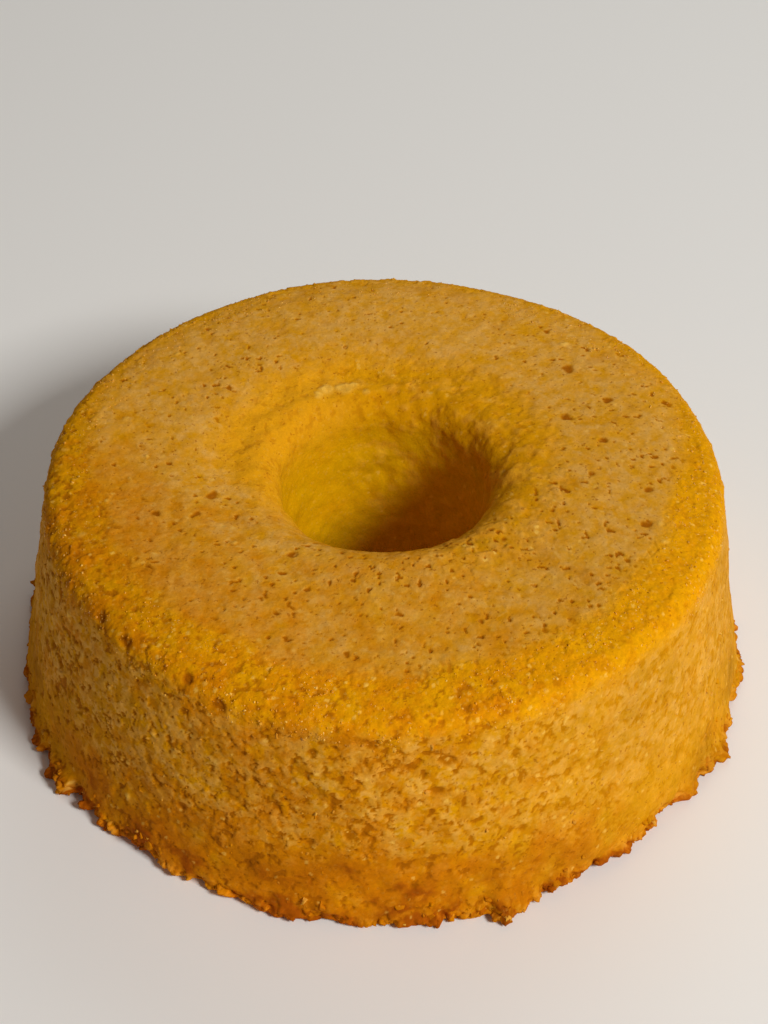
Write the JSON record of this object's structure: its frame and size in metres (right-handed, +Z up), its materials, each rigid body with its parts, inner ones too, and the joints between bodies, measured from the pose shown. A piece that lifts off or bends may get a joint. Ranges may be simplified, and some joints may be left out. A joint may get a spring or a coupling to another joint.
{
  "type": "corn cake",
  "caption": "Round ring-shaped corn cake with tapering sides, rounded shoulder, soft-lipped centre hole and a ragged baked edge round its flat underside.",
  "frame": {"origin": "centre of the flat underside", "axes": "+Z up along the centre hole; the side that the picture shows in front faces -Y"},
  "size_m": [0.2188, 0.2223, 0.0697],
  "materials": {
    "corn_crumb": null
  },
  "bodies": {
    "root": {"corn_cake": "corn_crumb"}
  },
  "joints": []
}
